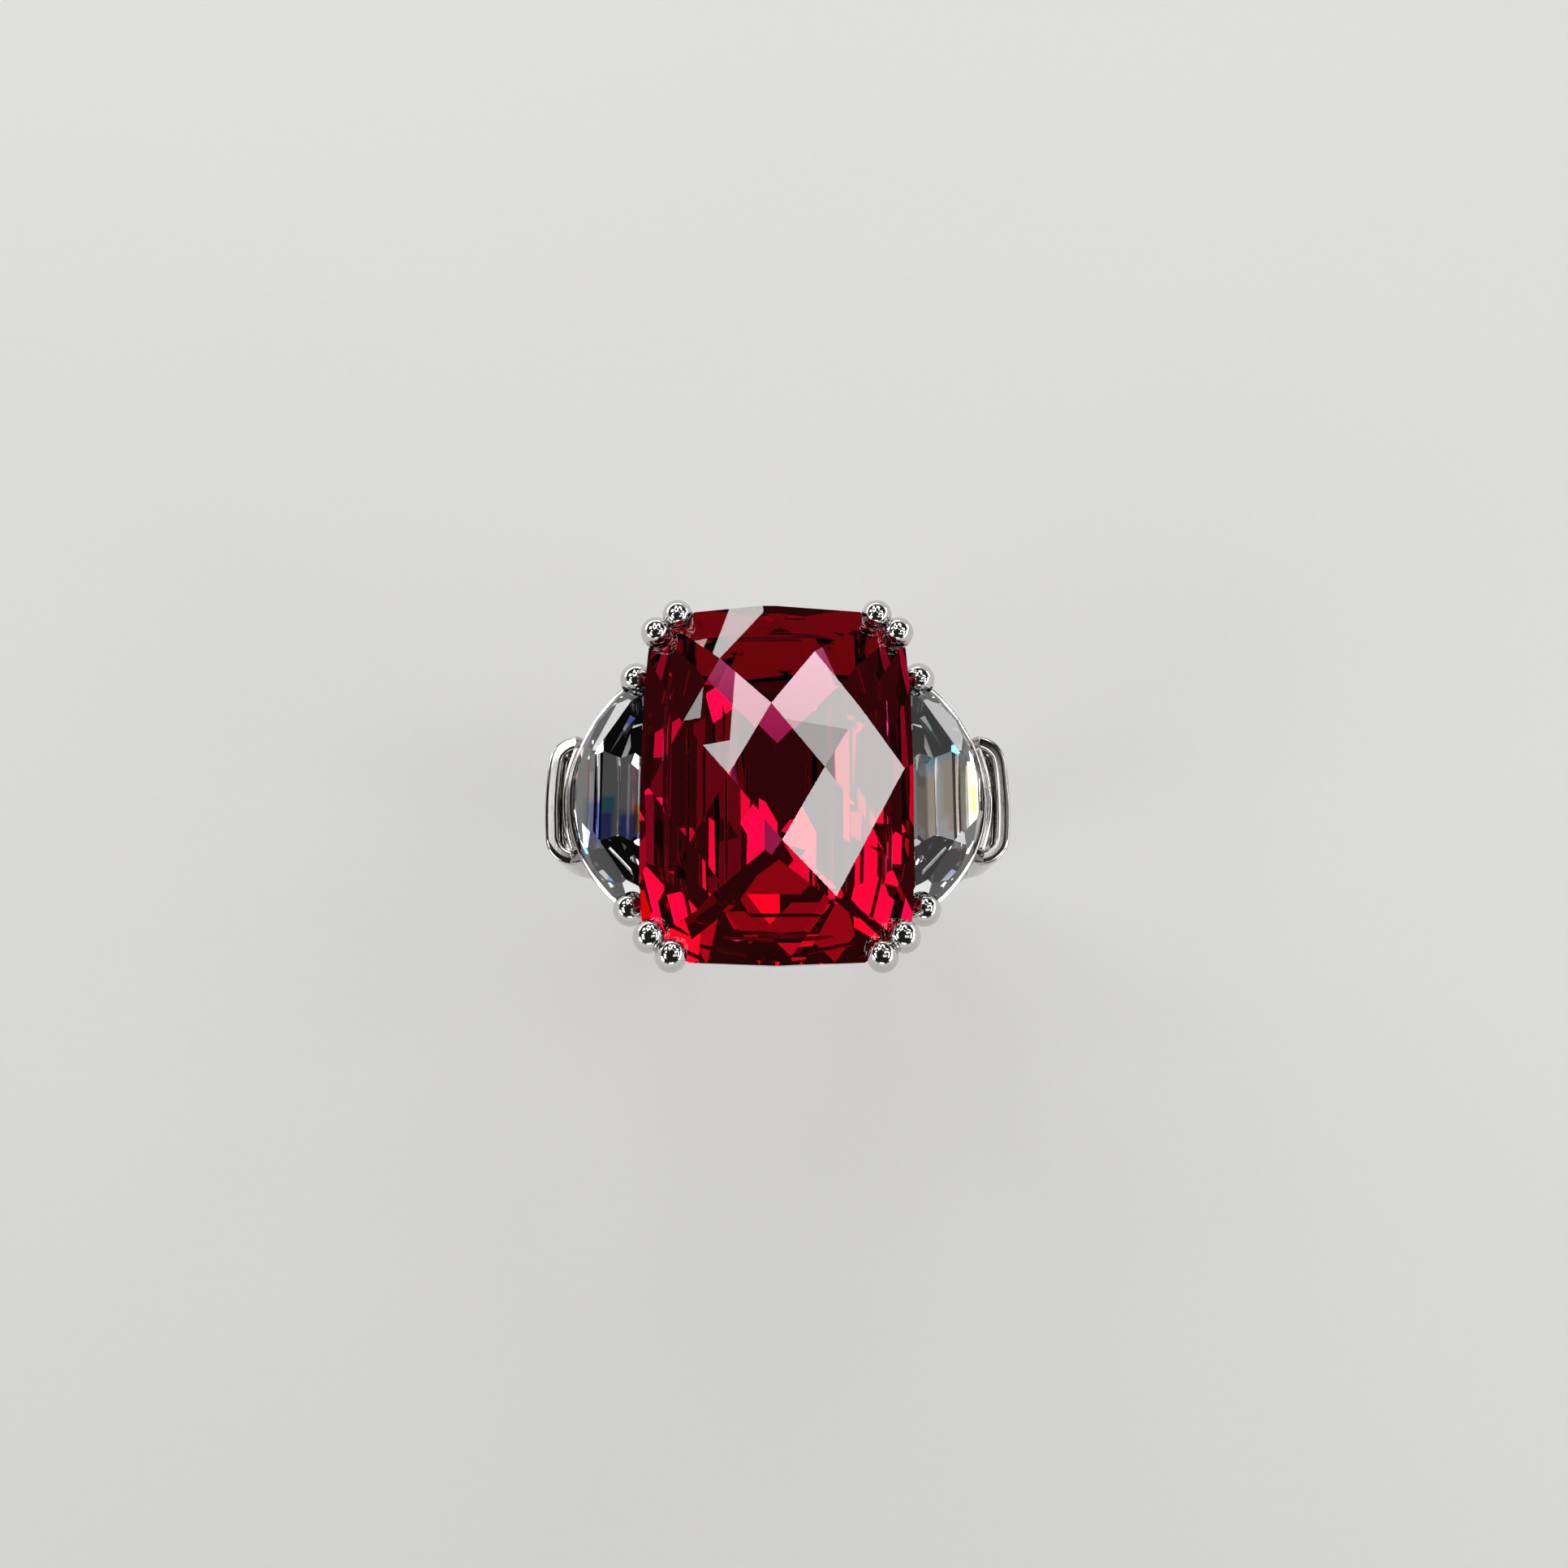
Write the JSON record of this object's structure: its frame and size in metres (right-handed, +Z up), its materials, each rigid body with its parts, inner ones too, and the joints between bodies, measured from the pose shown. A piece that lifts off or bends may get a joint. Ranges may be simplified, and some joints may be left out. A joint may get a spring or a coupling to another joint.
{
  "type": "cocktail ring",
  "caption": "Cocktail ring with a long red checkerboard-cut stone in paired corner claws, clear half-moon side stones, stepped shoulders and a polished white-metal band.",
  "frame": {"origin": "centre of the finger hole", "axes": "+Y along the finger (the hole's axis), +X from one shoulder to the other, +Z up through the centre stone"},
  "size_m": [0.022, 0.017, 0.027],
  "materials": {
    "white_metal": "mirror-polished, rhodium-plated",
    "red_stone": "polished facets",
    "clear_stone": "polished facets"
  },
  "bodies": {
    "root": {"shank": "white_metal", "base_gallery": "white_metal", "upper_gallery": "white_metal", "center_stone": "red_stone", "claw_back_left_side": "white_metal", "claw_back_left_end": "white_metal", "claw_back_right_side": "white_metal", "claw_back_right_end": "white_metal", "claw_front_left_side": "white_metal", "claw_front_left_end": "white_metal", "claw_front_right_side": "white_metal", "claw_front_right_end": "white_metal", "side_stone_left": "clear_stone", "side_stone_right": "clear_stone", "side_rail_left": "white_metal", "side_rail_right": "white_metal", "side_wire_left": "white_metal", "side_wire_right": "white_metal", "side_claw_back_left": "white_metal", "side_claw_front_left": "white_metal", "side_claw_back_right": "white_metal", "side_claw_front_right": "white_metal", "shoulder_left": "white_metal", "shoulder_right": "white_metal", "shoulder_step_left": "white_metal", "shoulder_step_right": "white_metal"}
  },
  "joints": []
}
